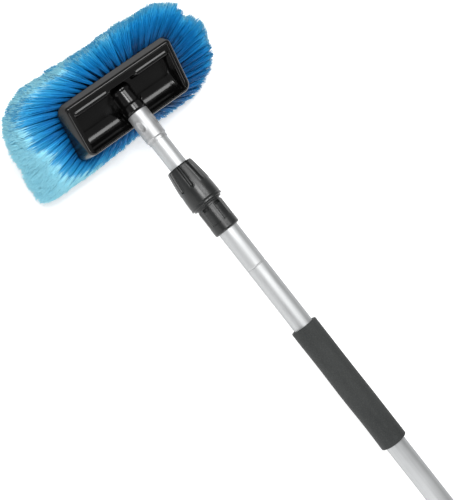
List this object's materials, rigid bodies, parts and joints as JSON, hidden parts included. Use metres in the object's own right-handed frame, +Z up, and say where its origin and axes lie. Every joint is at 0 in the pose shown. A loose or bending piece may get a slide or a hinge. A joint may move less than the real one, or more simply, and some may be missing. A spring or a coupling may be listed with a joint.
{
  "type": "car wash brush",
  "caption": "Water-fed wash brush: broad angled head with splayed blue bristles on a telescopic tube with twist lock, foam grip and a hose valve at the end.",
  "frame": {"origin": "middle of the footprint, on the ground that the laid-down brush rests on", "axes": "+X runs level from the brush head to the hose end, above the pole; +Z is up, and the head's open back looks up and towards the hose end"},
  "size_m": [1.1166, 0.2804, 0.1335],
  "materials": {
    "bristle": "soft blue bristle, dark at the roots and pale at the flagged tips",
    "black_plastic": "glossy black moulded plastic",
    "grey_plastic": "satin dark grey moulded plastic",
    "white_plastic": "plain off-white moulded plastic",
    "tube_metal": "satin drawn tube with fine lengthwise lines",
    "ferrule_metal": "bright, slightly rubbed metal",
    "rubber": "matte black rubber",
    "foam": "fine-celled closed foam",
    "steel": "bright steel",
    "brass": "turned brass"
  },
  "bodies": {
    "handle": {"outer_tube": "tube_metal", "collar_body": "grey_plastic", "foam_grip": "foam", "tube_gasket": "rubber", "valve_body": "grey_plastic", "socket_screw_right": "steel", "socket_screw_left": "steel", "valve_seat_front": "white_plastic", "valve_seat_rear": "white_plastic", "nipple_gasket": "rubber", "hose_nipple": "grey_plastic", "nipple_ring": "rubber"},
    "lock_nut": {"collar_nut": "grey_plastic"},
    "lock_collet": {"collet": "white_plastic"},
    "extension": {"brush_block": "black_plastic", "bristles_head_side": "bristle", "bristles_grip_side": "bristle", "bristles_right_end": "bristle", "bristles_left_end": "bristle", "neck_washer": "rubber", "threaded_spigot": "grey_plastic", "tip_ferrule": "ferrule_metal", "inner_tube": "tube_metal", "guide_bush": "white_plastic", "guide_ring_front": "rubber", "guide_ring_rear": "rubber"},
    "valve_key": {"valve_ball": "steel", "valve_stem": "brass", "stem_ring": "rubber", "valve_lever": "black_plastic", "lever_screw": "steel"}
  },
  "joints": [
    {"name": "collet_turn", "type": "hinge", "parent": "handle", "child": "lock_collet", "pos_m": [-0.36151, 0.00016, 0.08972], "axis": [0.9966, 0, -0.0819], "continuous": true},
    {"name": "pole_slide", "type": "slide", "parent": "lock_collet", "child": "extension", "axis": [-0.9966, 0, 0.0819], "range_m": [-0.0365, 0.659]},
    {"name": "lock_twist", "type": "hinge", "parent": "handle", "child": "lock_nut", "pos_m": [-0.3486, 0.00016, 0.08866], "axis": [0.9966, 0, -0.0819], "range_deg": [0, 150]},
    {"name": "valve_turn", "type": "hinge", "parent": "handle", "child": "valve_key", "pos_m": [0.49685, 0.00016, 0.01922], "axis": [0.0819, 0, 0.9966], "range_deg": [0, 90]}
  ]
}
